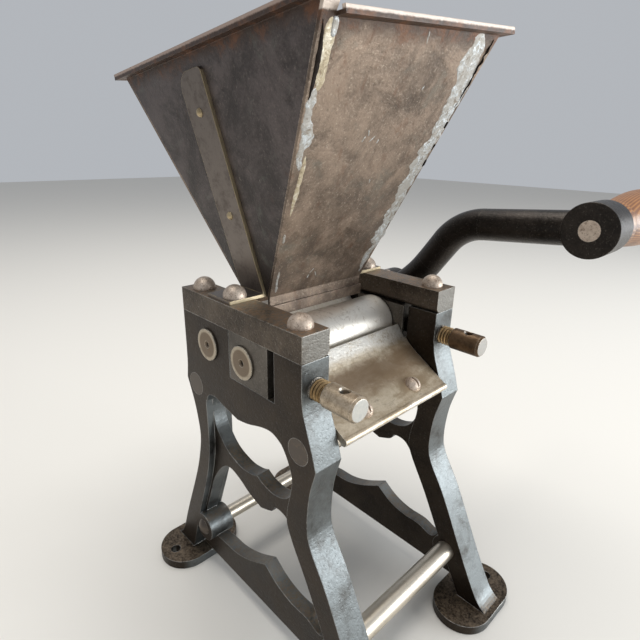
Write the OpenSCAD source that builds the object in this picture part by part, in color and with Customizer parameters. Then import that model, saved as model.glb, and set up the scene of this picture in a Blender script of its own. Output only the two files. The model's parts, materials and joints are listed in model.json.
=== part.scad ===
// Hand-cranked two-roller mill with a sheet-metal hopper.
// Millimetres. +Z up, +X along the rollers towards the crank, -Y is the chute side.
// The origin is on the bench, in the middle of the four foot screw holes.

/* [Side frames] */
// Thickness of each cast side frame at its legs and head
frame_t = 14; // [12:0.5:17]
// Clear distance between the two side frames
frame_gap = 72; // [60:1:90]
// Depth of the head, front to rear
head_depth = 84; // [80:1:100]
// Height of the head above the legs, up to the cap bar
head_h = 39; // [36:0.5:46]
// Height of the underside of the head above the bench
leg_h = 118; // [100:1:140]
// How far the head stands behind the middle of the feet
head_shift = 9.5; // [0:0.5:16]
// Thickness of the thin web that ties the legs together
web_t = 7; // [5:0.5:9]
// Height of the middle of the brace above the bench
brace_z = 80; // [70:1:88]
// Height of the bottom rail's lower edge above the bench
rail_z = 12; // [8:0.5:16]

/* [Feet] */
// Distance between the front and rear foot screw holes
foot_pitch_y = 135; // [125:1:160]
// Length of a foot pad, across the frame
foot_len = 47; // [42:1:54]
// Width of a foot pad, along the frame
foot_w = 30; // [26:1:34]
// Thickness of a foot pad
foot_t = 5; // [4:0.5:7]
// Distance of a foot screw hole from the frame's middle plane
foot_hole_out = 16; // [13.5:0.5:17]
// Diameter of a foot screw hole
foot_hole_d = 5.4; // [4:0.1:7]

/* [Cap bars] */
// Height of a cap bar
cap_h = 11; // [9:0.5:14]
// Radius of the cap bar's rounded lower inner edge
cap_round = 3; // [1:0.5:4]
// Distance of the end cap screws from the ends of the cap bar
cap_screw_in = 8.6; // [7.5:0.1:10]
// Shank diameter of the cap screws
cap_screw_d = 5; // [4:0.1:6]
// Head diameter of the cap screws
cap_head_d = 10.2; // [9:0.1:12]
// Head height of the cap screws
cap_head_h = 5.4; // [3.5:0.1:5.8]
// Length of a cap screw below its head
cap_screw_len = 16; // [14:0.5:17]

/* [Rollers] */
// Diameter of both rollers
roller_d = 26; // [22:0.5:27]
// Gap between the rollers as set at rest
nip = 0.6; // [0.4:0.1:1]
// Diameter of the roller journals
journal_d = 15; // [13:0.5:16.5]
// How far the rollers' axes lie below the top of the head
axis_drop = 11.8; // [11:0.1:14]
// Distance of the drive roller's axis from the rear of the head
drive_in = 20.4; // [18:0.1:24]
// How far a journal stands proud of the left frame
journal_proud = 0.8; // [0.2:0.1:2]

/* [Sliding bearings] */
// Width of a bearing block, front to rear
block_w = 26.1; // [24:0.1:28]
// Free space in front of a bearing block
block_gap = 4.2; // [3:0.1:5]
// How far the adjusting roller can be moved away from the drive roller
gap_travel = 1.6; // [1:0.1:2]
// Height of the slot that holds a bearing block
slot_h = 22.2; // [20:0.1:24]
// Distance of the journal's axis from the rear of its block
journal_in_block = 9.4; // [9:0.1:12]
// Thickness of the flange on a block's inner face
block_flange_t = 1.5; // [1:0.1:2]
// Overhang of that flange below and beside the slot
block_flange_w = 2; // [1:0.1:3]

/* [Adjusting screws] */
// Thread diameter of the adjusting screws
adjuster_d = 9; // [7:0.1:10]
// Core diameter of the thread that stands out of the frame
adjuster_core_d = 7.8; // [6.5:0.1:9]
// Length of thread that stands out of the frame
adjuster_out = 7; // [5:0.5:12]
// Diameter of the plain round head
adjuster_head_d = 10.2; // [8:0.1:15]
// Length of the plain round head
adjuster_head_l = 15; // [12:0.5:24]
// Diameter of the tommy-bar hole through the head
tommy_d = 4; // [3:0.1:5]
// How far the screws stand inwards from the frames' middle planes
adjuster_in = 0.7; // [0:0.1:2]
// Diameter of the spigot that turns in the block
spigot_d = 6; // [5:0.1:6.5]
// Diameter of the pins that hold the spigots in
block_pin_d = 2.5; // [2:0.1:3]

/* [Stretchers] */
// Diameter of the two upper stretcher rods
upper_rod_d = 12.6; // [12:0.1:13]
// Diameter of their flush ends in the frames
upper_end_d = 11.4; // [9:0.1:11.6]
// Diameter of the lower front stretcher rod
lower_front_d = 10; // [9:0.1:11]
// Diameter of the lower rear stretcher rod
lower_rear_d = 8; // [7.8:0.1:9]
// Diameter of the lower rods' ends in the frames
lower_end_d = 7; // [6:0.1:7.4]
// Height of the domed rivet ends of the lower rods
rod_dome = 2.4; // [1:0.1:3]

/* [Chute] */
// Thickness of the chute plate
chute_t = 3; // [2:0.1:4]
// Length of the flat part of the chute
chute_len = 23; // [20:0.5:32]
// Slope of the flat part of the chute
chute_slope = 31; // [25:1:38]
// Free space at each end of the chute
chute_end_gap = 0.5; // [0.2:0.1:2]
// Distance between the chute screws
chute_screw_pitch = 34; // [24:1:46]
// Head diameter of the chute screws
chute_head_d = 8; // [7:0.1:9]

/* [Hopper] */
// Thickness of the sheet metal
sheet_t = 1.2; // [0.8:0.1:1.6]
// Height of the hopper's mouth above the cap bars
hopper_h = 98.5; // [80:0.5:115]
// Width of the throat at the cap bars, along the rollers
throat_w = 59; // [50:0.5:62]
// Depth of the throat at the cap bars, front to rear
throat_d = 21; // [18:0.5:26]
// Depth of the throat's skirt below the top of the cap bars
skirt_h = 9; // [6:0.5:9.5]
// Slope of the front sheet, run over rise
front_run = 0.54; // [0.4:0.01:0.65]
// Slope of the rear sheet, run over rise
rear_run = 0.62; // [0.4:0.01:0.7]
// Slope of the left sheet, run over rise
left_run = 0.225; // [0.1:0.005:0.3]
// Slope of the right sheet, run over rise
right_run = 0.095; // [0.05:0.005:0.3]
// Sideways slant of the mouth, rise over run
mouth_slant = 0.078; // [0:0.002:0.1]
// Fall of the mouth towards the rear, rise over run
mouth_tilt = -0.055; // [-0.06:0.001:0]
// The same fall of the left sheet's edge, which stands up at the front
left_tilt = -0.086; // [-0.12:0.001:0]
// Width of the tab that the front sheet's rim leaves standing beside the left sheet
tab_w = 5.5; // [3:0.5:9]
// Width of the rim that is turned outwards
rim_w = 3.6; // [3:0.5:8]
// Height of the rim's turned-up edge
rim_lip = 1.2; // [0.4:0.1:3]
// Height of the hem along the bottom of the skirt
hem_h = 5; // [3:0.5:6]

/* [Hopper brackets] */
// Thickness of the bracket strip
strip_t = 1.5; // [1:0.1:2]
// Width of the bracket strip
strip_w = 17; // [13:0.5:20]
// Height of the bracket strip's top above the cap bars
strip_h = 92; // [70:1:92]
// Lean of the bracket strip towards the rear, in degrees
strip_lean = 6; // [0:0.5:12]
// Height of the two rivets above the cap bars
rivet_z = [36, 77];
// Head diameter of the rivets
rivet_head_d = 3.6; // [3:0.1:5]
// Shank diameter of the rivets
rivet_d = 2; // [1.6:0.1:2.4]

/* [Gears] */
// Number of teeth on each gear
gear_teeth = 15; // [13:1:18]
// Pressure angle of the teeth
pressure_angle = 25; // [22:1:27]
// Play between the teeth on the pitch circle
backlash = 0.35; // [0.25:0.05:0.6]
// Width of the toothed rim
gear_w = 9; // [7:0.5:12]
// Diameter of the gears' hubs
gear_hub_d = 20.5; // [19.5:0.1:22]
// Length of the gears' hubs
gear_hub_l = 6; // [5:0.5:8]
// Diameter of the shaft ends in the gears and the crank
shaft_d = 14; // [11:0.5:14]
// Diameter of the pins through the gears' hubs
gear_pin_d = 2.5; // [2:0.1:3]

/* [Crank] */
// Diameter of the crank's round bar
crank_bar_d = 16; // [13:0.5:18]
// Diameter of the crank's hub
crank_hub_d = 28; // [25:0.5:32]
// Length of the crank's hub
crank_hub_l = 22; // [18:0.5:26]
// Length of the straight end of the crank
crank_reach = 52; // [35:1:58]
// Radius of the crank's lower bend
crank_low_r = 80; // [60:1:95]
// Radius of the crank's upper bend
crank_top_r = 29; // [24:1:36]
// Diameter of the eye that holds the handle
crank_eye_d = 24; // [20:0.5:28]
// Diameter of the pin that fixes the crank to its shaft
crank_pin_d = 4; // [3:0.1:5]

/* [Handle] */
// Diameter of the handle's spindle
spindle_d = 9; // [7:0.1:11]
// Length of the wooden grip
grip_len = 72; // [60:1:90]
// Largest diameter of the wooden grip
grip_d = 28; // [24:0.5:34]
// Diameter of the head on the spindle's end
spindle_head_d = 14; // [12:0.5:18]
// Thickness of the washer beside the crank's eye
washer_t = 1.2; // [0.8:0.1:2]

/* [Fits] */
// Radial clearance of a turning fit
run_fit = 0.05; // [0.02:0.01:0.1]
// Clearance above and below a sliding block
slide_fit = 0.1; // [0.05:0.01:0.15]
// Clearance where parts stand side by side
side_gap = 0.4; // [0.3:0.05:0.6]
// Radial clearance of a screw hole
screw_fit = 0.15; // [0.1:0.05:0.3]

/* [Hidden] */
$fn = 64;
outline_steps = 5;
over = 1;
far = 400;

left = -1;
right = 1;
front = -1;
rear = 1;

// Levels
head_top = leg_h + head_h;
cap_top = head_top + cap_h;
axis_z = head_top - axis_drop;
slot_floor = head_top - slot_h;

// Front to rear
head_mid = head_shift;
head_front = head_mid - head_depth / 2;
head_rear = head_mid + head_depth / 2;
foot_y = foot_pitch_y / 2;
drive_y = head_rear - drive_in;
roll_y = drive_y - roller_d - nip;
block_rear = roll_y + journal_in_block;
block_front = block_rear - block_w;
slot_rear = block_rear + side_gap;
slot_front = block_front - block_gap;
nip_y = (drive_y + roll_y) / 2;

// Left to right
frame_in = frame_gap / 2;
frame_out = frame_in + frame_t;
frame_mid = frame_in + frame_t / 2;
adjuster_x = frame_mid - adjuster_in;
roller_end = frame_in - block_flange_t - side_gap;
gear_in = frame_out + 3 * side_gap;
gear_out = gear_in + gear_w;
gear_hub_out = gear_out + gear_hub_l;
crank_hub_in = gear_hub_out + side_gap;
crank_hub_out = crank_hub_in + crank_hub_l;
crank_mid = (crank_hub_in + crank_hub_out) / 2;
crank_eye_in = crank_mid - crank_bar_d / 2 - 0.5;
crank_eye_out = crank_mid + crank_bar_d / 2 + 0.5;
grip_in = crank_eye_out + washer_t + side_gap;
grip_out = grip_in + grip_len;

// Stretcher rods, as [y, z]
upper_front_rod = [head_front + 1.9, leg_h + 1.5];
upper_rear_rod = [head_rear - 6.8, leg_h + 2];
lower_front_rod = [-foot_y + 14.3, rail_z + 16.5];
lower_rear_rod = [foot_y - 19.5, rail_z + 17];

function mix(a, b, t) = a + (b - a) * t;

// Catmull-Rom curve through the points, with its end points repeated
function curve_point(p0, p1, p2, p3, t) =
    p1 + (p2 - p0) * t / 2 + (2 * p0 - 5 * p1 + 4 * p2 - p3) * t * t / 2
    + (3 * p1 - p0 - 3 * p2 + p3) * t * t * t / 2;
function curve(p) = let (last = len(p) - 1) [
    for (i = [0 : last - 1], k = [0 : outline_steps - 1])
        curve_point(p[max(i - 1, 0)], p[i], p[i + 1], p[min(i + 2, last)], k / outline_steps),
    p[last]
];

// Stands a (y, z) drawing up along the rollers' direction, centred on x
module plate(x, thickness) {
    translate([x, 0, 0]) rotate([90, 0, 90]) linear_extrude(thickness, center = true) children();
}

// A round bar along the rollers' direction, from x0 to x1
module bar_x(x0, x1, d, at) {
    translate([x0, at[0], at[1]]) rotate([0, 90, 0]) cylinder(x1 - x0, d = d);
}

// ---------------------------------------------------------------- side frames

// Edges of the legs, from the head down to the foot, as [y, z]
front_waist = [head_front - 3.8, brace_z + 6];
front_toe = [-foot_y - 9, foot_t - over];
front_ankle = mix(front_waist, front_toe, 0.88);
front_heel = [-foot_y + 3.5, foot_t - over];
front_lobe = [head_front - 8.3, leg_h - 3];
front_knee = [head_front + 8.6, brace_z];
front_leg_front = concat(
    curve([[head_front, leg_h + 26], [head_front - 1.2, leg_h + 18], [head_front - 5.5, leg_h + 6],
        front_lobe]),
    curve([front_lobe, [head_front - 4.9, mix(front_lobe[1], front_waist[1], 0.45)], front_waist,
        mix(front_waist, front_toe, 0.12) + [2.4, 0], mix(front_waist, front_toe, 0.32) + [0.6, 0],
        mix(front_waist, front_toe, 0.68) + [0.6, 0], front_ankle,
        mix(front_ankle, front_toe, 0.6) + [-1.2, 0], front_toe + [-4.5, 0]]));
front_leg_rear = curve([[head_front + 14, leg_h + 2], [head_front + 8.5, leg_h - 5],
    [head_front + 5.4, leg_h - 15], front_knee + [0, 6], front_knee + [-1.6, -4],
    mix(front_knee, front_heel, 0.32) + [-0.4, 0], mix(front_knee, front_heel, 0.66), front_heel]);

rear_waist = [head_rear - 7.2, brace_z + 11];
rear_toe = [foot_y + 7.5, foot_t - over];
rear_ankle = mix(rear_waist, rear_toe, 0.88);
rear_heel = [foot_y - 5, foot_t - over];
rear_lobe = [head_rear + 1.4, leg_h + 3];
rear_knee = [head_rear - 14.4, brace_z + 2];
rear_leg_rear = concat(
    curve([[head_rear, leg_h + 20], [head_rear + 0.3, leg_h + 11], rear_lobe]),
    curve([rear_lobe, [head_rear - 2.9, leg_h - 7], [head_rear - 5.6, leg_h - 16], rear_waist,
        mix(rear_waist, rear_toe, 0.14) + [-2.2, 0], mix(rear_waist, rear_toe, 0.32) + [-2.6, 0],
        mix(rear_waist, rear_toe, 0.68) + [-0.6, 0], rear_ankle,
        mix(rear_ankle, rear_toe, 0.6) + [1.2, 0], rear_toe + [5, 0]]));
rear_leg_front = curve([[head_rear - 15, leg_h + 2], [head_rear - 15, leg_h - 8], rear_knee + [-0.9, 14],
    rear_knee, mix(rear_knee, rear_heel, 0.22) + [-1.2, 0], mix(rear_knee, rear_heel, 0.55) + [-0.3, 0],
    rear_heel]);

// Openings in the web, each drawn from cusp to cusp
top_cusp = [head_mid + 0.5, leg_h - 2.6];
brace_top_cusp = [head_mid - 8, brace_z + 8.3];
brace_low_cusp = [head_mid - 10.5, brace_z - 8.2];
rail_cusp = [head_mid - 12.5, rail_z + 26.6];
upper_opening = concat(
    curve([top_cusp, [head_mid + 11, leg_h - 0.4], [head_mid + 18.5, leg_h + 1.4],
        [head_rear - 17.2, leg_h - 0.6], [head_rear - 15, leg_h - 8], [head_rear - 16.4, leg_h - 17],
        [head_rear - 21, brace_z + 14.5], [head_mid + 14.5, brace_z + 9], [head_mid + 4.5, brace_z + 6],
        [head_mid - 3.5, brace_z + 6.6], brace_top_cusp]),
    curve([brace_top_cusp, [head_mid - 13, brace_z + 6], [head_mid - 20.5, brace_z + 5.2],
        [head_front + 13.6, brace_z + 8], [head_front + 8.6, brace_z + 14.5], [head_front + 6.7, leg_h - 15],
        [head_front + 7.5, leg_h - 7.5], [head_front + 11, leg_h - 1.2], [head_front + 17.5, leg_h + 2.3],
        [head_mid - 17.5, leg_h + 1.8], [head_mid - 7.5, leg_h - 1.2], top_cusp]));
front_side_low = mix(front_knee, front_heel, 0.58) + [2, 0];
rear_side_low = mix(rear_knee, rear_heel, 0.6) + [-1.6, 0];
lower_opening = concat(
    curve([brace_low_cusp, [head_mid - 1.5, brace_z - 5.5], [head_mid + 6.5, brace_z - 1.5],
        [head_mid + 14.5, brace_z + 0.3], [head_rear - 20.5, brace_z - 3.5],
        mix(rear_knee, rear_heel, 0.22) + [-3.4, 0], mix(rear_knee, rear_heel, 0.4) + [-2.6, 0],
        rear_side_low, rear_side_low + [-1, -5], rear_side_low + [-6.5, -9.5],
        [head_mid + 23.5, rail_z + 14.6], [head_mid + 12.5, rail_z + 15.3], [head_mid + 0.5, rail_z + 19.4],
        rail_cusp]),
    curve([rail_cusp, [head_mid - 21.5, rail_z + 21], [head_mid - 31.5, rail_z + 18.3],
        [head_mid - 42.5, rail_z + 18.2], front_side_low + [4.2, -8], front_side_low + [0.2, -4.5],
        front_side_low, mix(front_knee, front_heel, 0.4) + [1.8, 0],
        mix(front_knee, front_heel, 0.2) + [1.6, 0],
        front_knee + [0.4, -6.5], front_knee + [5.5, -1.8], front_knee + [12, -1.4],
        [head_mid - 18.5, brace_z - 5], brace_low_cusp]));

module leg_outline(front_edge, rear_edge) {
    polygon(concat(front_edge, [for (i = [len(rear_edge) - 1 : -1 : 0]) rear_edge[i]]));
}

module web_outline() {
    difference() {
        polygon([[head_front + 4, leg_h + 8], [head_rear - 6, leg_h + 8], [head_rear - 11, leg_h - 14],
            rear_knee + [3, 0], mix(rear_knee, rear_heel, 0.4) + [4, 0], [lower_rear_rod[0] + 6, rail_z],
            [lower_front_rod[0] - 5, rail_z], mix(front_knee, front_heel, 0.4) + [-4, 0],
            front_knee + [-5, 0], [head_front, leg_h - 14]]);
        polygon(upper_opening);
        polygon(lower_opening);
    }
}

module head_outline() {
    difference() {
        translate([head_front, leg_h - 4]) square([head_depth, head_h + 4]);
        polygon(upper_opening);
        translate([head_front - over, leg_h - 6]) square([15, 6]);
        translate([head_rear - 15, leg_h - 6]) square([16, 6]);
    }
}

module foot_pad() {
    side = (foot_len - foot_w) / 2;
    linear_extrude(foot_t) {
        square([2 * side, foot_w], center = true);
        for (s = [left, right]) translate([s * side, 0]) circle(d = foot_w);
    }
}

module side_frame(side) {
    x = side * frame_mid;
    color("#4a4643") difference() {
        union() {
            plate(x, frame_t) {
                leg_outline(front_leg_front, front_leg_rear);
                leg_outline(rear_leg_front, rear_leg_rear);
                head_outline();
                for (rod = [lower_front_rod, lower_rear_rod])
                    translate(rod) circle(d = lower_end_d + 9);
            }
            plate(x, web_t) web_outline();
            for (end = [front, rear]) translate([x, end * foot_y, 0]) foot_pad();
        }
        // Slot for the bearing block, open upwards under the cap bar
        translate([x - frame_t, slot_front, slot_floor])
            cube([2 * frame_t, slot_rear - slot_front, slot_h + over]);
        // Bore of the drive roller
        bar_x(x - frame_t, x + frame_t, journal_d + 2 * run_fit, [drive_y, axis_z]);
        // Thread of the adjusting screw
        translate([side * adjuster_x, head_front - over, axis_z]) rotate([-90, 0, 0])
            cylinder(slot_front - head_front + 2 * over, d = adjuster_d + 2 * run_fit);
        // Holes of the stretchers, the cap screws and the foot screws
        for (rod = [upper_front_rod, upper_rear_rod]) bar_x(x - frame_t, x + frame_t, upper_end_d, rod);
        for (rod = [lower_front_rod, lower_rear_rod]) bar_x(x - frame_t, x + frame_t, lower_end_d, rod);
        for (y = cap_screw_y) translate([x, y, cap_top - cap_screw_len - side_gap])
            cylinder(cap_screw_len, d = cap_screw_d + 2 * screw_fit);
        for (end = [front, rear]) translate([side * (frame_mid + foot_hole_out), end * foot_y, -over])
            cylinder(foot_t + 2 * over, d = foot_hole_d);
    }
}

module left_side_frame() { side_frame(left); }
module right_side_frame() { side_frame(right); }

// ------------------------------------------------------------------ cap bars

cap_screw_y = [head_front + cap_screw_in, head_rear - cap_screw_in];
foot_screw_y = nip_y + 0.7;
strip_y = nip_y + 4.2;

module cap_bar(side) {
    color("#5a4e44") difference() {
        translate([side * frame_mid, head_mid, head_top + cap_h / 2])
            cube([frame_t, head_depth, cap_h], center = true);
        // Rounded lower edge on the inner side
        translate([side * (frame_in + cap_round), head_front - over, head_top + cap_round])
            rotate([-90, 0, 0]) difference() {
                translate([side < 0 ? 0 : -2 * cap_round, 0, 0])
                    cube([2 * cap_round, 2 * cap_round, head_depth + 2 * over]);
                translate([0, 0, -over]) cylinder(head_depth + 4 * over, r = cap_round);
            }
        for (y = concat(cap_screw_y, foot_screw_y)) translate([side * frame_mid, y, head_top - over])
            cylinder(cap_h + 2 * over, d = cap_screw_d + 2 * screw_fit);
    }
}

module left_cap_bar() { cap_bar(left); }
module right_cap_bar() { cap_bar(right); }

// A domed head and its shank, with the seat of the head at the origin
module round_head_screw(head_d, head_h, shank_d, shank_l) {
    ball_r = (head_d * head_d / 4 + head_h * head_h) / (2 * head_h);
    intersection() {
        translate([0, 0, head_h - ball_r]) sphere(ball_r);
        cylinder(head_h + over, d = head_d);
    }
    translate([0, 0, -shank_l]) cylinder(shank_l, d = shank_d);
}

module cap_screws() {
    color("#8b7466") for (side = [left, right], y = cap_screw_y)
        translate([side * frame_mid, y, cap_top])
            round_head_screw(cap_head_d, cap_head_h, cap_screw_d, cap_screw_len);
}

module bracket_screws() {
    color("#8b7466") for (side = [left, right]) translate([side * frame_mid, foot_screw_y, cap_top + strip_t])
        round_head_screw(cap_head_d, cap_head_h, cap_screw_d, strip_t + cap_h - side_gap);
}

// ------------------------------------------------------------------- rollers

module roller(y, shaft_out) {
    at = [y, axis_z];
    bar_x(-roller_end, roller_end, roller_d, at);
    bar_x(-frame_out - journal_proud, frame_out + side_gap, journal_d, at);
    bar_x(frame_out, shaft_out, shaft_d, at);
}

// Lathe centre left in the end of a journal
module lathe_centre(x, y) {
    translate([x - over, y, axis_z]) rotate([0, 90, 0]) cylinder(over + 1.5, d1 = 5, d2 = 1.2);
}

module drive_roller() {
    color("#a8a29a") difference() {
        union() {
            roller(drive_y, crank_hub_out + 1);
            bar_x(-frame_in + side_gap, frame_in - side_gap, journal_d + 5, [drive_y, axis_z]);
        }
        lathe_centre(-frame_out - journal_proud, drive_y);
        pin_hole(gear_hub_out - gear_hub_l / 2, drive_y, gear_pin_d);
        pin_hole(crank_mid, drive_y, crank_pin_d);
    }
}

module adjusting_roller() {
    color("#a8a29a") difference() {
        roller(roll_y, gear_hub_out + 1);
        lathe_centre(-frame_out - journal_proud, roll_y);
        pin_hole(gear_hub_out - gear_hub_l / 2, roll_y, gear_pin_d);
    }
}

// Hole across a shaft for a pin, at x on the axis of a roller
module pin_hole(x, y, d) {
    translate([x, y, axis_z]) cylinder(far / 4, d = d, center = true);
}

// ----------------------------------------------------------- sliding bearings

module bearing_block(side) {
    color("#6d665f") difference() {
        union() {
            translate([side * frame_mid, (block_front + block_rear) / 2, slot_floor + slot_h / 2])
                cube([frame_t, block_w, slot_h - 2 * slide_fit], center = true);
            translate([side * (frame_in - block_flange_t / 2), (block_front + block_rear) / 2,
                    slot_floor + (slot_h - slide_fit - block_flange_w) / 2])
                cube([block_flange_t, block_w + 2 * block_flange_w,
                    slot_h - slide_fit + block_flange_w], center = true);
        }
        translate([side * frame_mid, roll_y, axis_z]) rotate([0, 90, 0])
            cylinder(2 * frame_t, d = journal_d + 2 * run_fit, center = true);
        translate([side * adjuster_x, block_front - over, axis_z]) rotate([-90, 0, 0])
            cylinder(spigot_l + over + side_gap, d = spigot_d + 2 * run_fit);
        block_pin(side, over);
    }
}

module left_bearing_block() { bearing_block(left); }
module right_bearing_block() { bearing_block(right); }

spigot_l = 6;
groove_w = block_pin_d + 0.4;
groove_d = spigot_d - 2.4;
groove_y = block_front + spigot_l - 1 - groove_w / 2;

// The pin stands beside the spigot's groove and keeps it in the block
module block_pin(side, extra) {
    translate([side * adjuster_x + (groove_d + block_pin_d) / 2 + 0.2, groove_y, axis_z - 5])
        cylinder(head_top - slide_fit - axis_z + 5 + extra, d = block_pin_d);
}

module block_pins() {
    color("#77716a") for (side = [left, right]) block_pin(side, 0);
}

// ---------------------------------------------------------- adjusting screws

module adjusting_screw(side) {
    head_y = head_front - adjuster_out;
    color("#a98a56") translate([side * adjuster_x, 0, axis_z]) difference() {
        union() {
            translate([0, head_front, 0]) rotate([-90, 0, 0])
                cylinder(block_front - side_gap - head_front, d = adjuster_d);
            translate([0, head_y, 0]) rotate([-90, 0, 0])
                cylinder(adjuster_out + over, d = adjuster_core_d);
            translate([0, head_y - adjuster_head_l, 0]) rotate([-90, 0, 0]) {
                translate([0, 0, 1]) cylinder(adjuster_head_l - 1, d = adjuster_head_d);
                cylinder(1, d1 = adjuster_head_d - 1.6, d2 = adjuster_head_d);
            }
            translate([0, block_front - side_gap, 0]) rotate([-90, 0, 0])
                cylinder(spigot_l + side_gap, d = spigot_d);
        }
        translate([0, groove_y - groove_w / 2, 0]) rotate([-90, 0, 0]) difference() {
            cylinder(groove_w, d = spigot_d + over);
            translate([0, 0, -over]) cylinder(groove_w + 2 * over, d = groove_d);
        }
        translate([0, head_y - adjuster_head_l / 2, 0])
            cylinder(2 * adjuster_head_d, d = tommy_d, center = true);
        for (end = [-1, 1]) translate([0, head_y - adjuster_head_l / 2, end * adjuster_head_d / 2])
            cylinder(2, d1 = tommy_d + 1 - end, d2 = tommy_d + 1 + end, center = true);
    }
}

module left_adjusting_screw() { adjusting_screw(left); }
module right_adjusting_screw() { adjusting_screw(right); }

// ---------------------------------------------------------------- stretchers

// A rod between the frames, with a thinner end riveted over at each side
module stretcher(rod, d, end_d, dome) {
    bar_x(-frame_in, frame_in, d, rod);
    bar_x(-frame_out, frame_out, end_d, rod);
    if (dome > 0) for (side = [left, right]) translate([side * frame_out, rod[0], rod[1]])
        rotate([0, side * 90, 0]) round_head_screw(end_d + 2, dome, end_d, 1);
}

module upper_front_stretcher() {
    color("#6b635b") difference() {
        stretcher(upper_front_rod, upper_rod_d, upper_end_d, 0);
        chute_screw_places() translate([0, 0, -chute_screw_l - side_gap])
            cylinder(2 * chute_screw_l, d = chute_screw_d + 2 * run_fit);
    }
}

module upper_rear_stretcher() {
    color("#6b635b") stretcher(upper_rear_rod, upper_rod_d, upper_end_d, 0);
}

module lower_front_stretcher() {
    color("#b9b4ae") stretcher(lower_front_rod, lower_front_d, lower_end_d, rod_dome);
}

module lower_rear_stretcher() {
    color("#b9b4ae") stretcher(lower_rear_rod, lower_rear_d, lower_end_d, rod_dome);
}

// --------------------------------------------------------------------- chute

chute_screw_d = 4;
chute_screw_l = chute_t + 6;
chute_half = frame_in - chute_end_gap;
// Unit vectors down the chute and square to it
down = [-cos(chute_slope), -sin(chute_slope)];
up = [-sin(chute_slope), cos(chute_slope)];
// The plate lies on the upper front stretcher
chute_seat = upper_front_rod + up * upper_rod_d / 2;
chute_foot = chute_seat + up * chute_t - down * 15.5;
chute_lip = chute_seat + up * chute_t + down * (chute_len - 15.5);
scraper_edge = [roll_y - roller_d / 2 - gap_travel - 1.7, axis_z + 1.6];
chute_top_line = concat(
    curve([scraper_edge, mix(scraper_edge, chute_foot, 0.55) + [-0.2, -1.4], chute_foot + down * 0.6,
        chute_foot + down * 5]), [chute_lip]);
chute_low_line = [chute_lip - up * chute_t, chute_foot - up * chute_t + down * 1.2,
    mix(scraper_edge, chute_foot, 0.5) + [0.8, -3.6], scraper_edge + [1.1, -0.9]];

// Foremost place that a block's flange reaches, with a clearance
flange_front = block_front - block_flange_w - gap_travel - side_gap;

module chute_screw_places() {
    for (side = [left, right])
        translate([side * chute_screw_pitch / 2, chute_seat[0], chute_seat[1]])
            rotate([chute_slope, 0, 0]) translate([0, 0, chute_t]) children();
}

module discharge_chute() {
    color("#a39786") difference() {
        union() {
            intersection() {
                plate(0, 2 * chute_half) polygon(concat(chute_top_line, chute_low_line));
                // The upper edge goes between the flanges of the bearing blocks
                union() {
                    translate([-roller_end, -far / 2, 0]) cube([2 * roller_end, far, far]);
                    translate([-far / 2, flange_front - far, 0]) cube(far);
                }
            }
            // Rounded lip
            bar_x(-chute_half, chute_half, chute_t + 0.6, chute_lip - up * chute_t / 2);
        }
        chute_screw_places() translate([0, 0, -chute_t - over])
            cylinder(chute_t + 2 * over, d = chute_screw_d + 2 * screw_fit);
    }
}

module chute_screws() {
    color("#9a9186") chute_screw_places() difference() {
        round_head_screw(chute_head_d, 3.2, chute_screw_d, chute_screw_l);
        translate([0, 0, 3]) cube([1.1, chute_head_d + over, 2.4], center = true);
    }
}

// -------------------------------------------------------------------- hopper

throat_y = nip_y + 4.3;
slant_angle = atan(mouth_slant);
function tilt_angle(tilt) = atan(tilt * cos(slant_angle));
// Heights are above the cap bars; the mouth's plane passes through its middle at hopper_h
function mouth_z(x, y, h, tilt) = h + mouth_slant * x + tilt * (y - throat_y);
function front_at(z) = throat_y - throat_d / 2 - front_run * z;
function rear_at(z) = throat_y + throat_d / 2 + rear_run * z;
function left_at(z) = -throat_w / 2 - left_run * z;
function right_at(z) = throat_w / 2 + right_run * z;
above = hopper_h + 16;

// Horizontal thickness of a sheet whose slope is run over rise
function across(run) = sheet_t * sqrt(1 + run * run);

// Stands an (x, z) drawing up along y; and lays out a (y, z) drawing along x
module along_y() {
    translate([0, throat_y, cap_top]) rotate([90, 0, 0]) linear_extrude(far, center = true) children();
}
module along_x() {
    translate([0, 0, cap_top]) rotate([90, 0, 90]) linear_extrude(far, center = true) children();
}

// The plane of the mouth, with what is drawn in it centred on the throat. The left sheet has its
// own height and tilt.
module in_mouth(h = hopper_h, tilt = mouth_tilt) {
    translate([0, throat_y, cap_top + h]) rotate([tilt_angle(tilt), -slant_angle, 0]) children();
}

// The hopper's outer form, cut off at the slanted mouth
module funnel(h = hopper_h, tilt = mouth_tilt) {
    intersection() {
        along_y() polygon([[left_at(0), 0], [right_at(0), 0], [right_at(above), above],
            [left_at(above), above]]);
        along_x() polygon([[front_at(0), 0], [rear_at(0), 0], [rear_at(above), above],
            [front_at(above), above]]);
        in_mouth(h, tilt) translate([-far / 2, -far / 2, -far]) cube(far);
    }
}

// Everything beyond the inner face of one sheet
module beyond_front() {
    along_x() polygon([[front_at(-over) + across(front_run), -over],
        [front_at(above) + across(front_run), above], [front_at(above) - far, above], [-far, -over]]);
}
module beyond_rear() {
    along_x() polygon([[rear_at(-over) - across(rear_run), -over],
        [rear_at(above) - across(rear_run), above], [rear_at(above) + far, above], [far, -over]]);
}
module beyond_left() {
    along_y() polygon([[left_at(-over) + across(left_run), -over],
        [left_at(above) + across(left_run), above], [-far, above], [-far, -over]]);
}
module beyond_right() {
    along_y() polygon([[right_at(-over) - across(right_run), -over],
        [right_at(above) - across(right_run), above], [far, above], [far, -over]]);
}

// A corner of the mouth, found by going up the two sheets that meet there
function corner(x_at, y_at, h = hopper_h, tilt = mouth_tilt, z = hopper_h, tries = 8) =
    tries == 0 ? [x_at(z), y_at(z), z]
    : corner(x_at, y_at, h, tilt, mouth_z(x_at(z), y_at(z), h, tilt), tries - 1);
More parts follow.
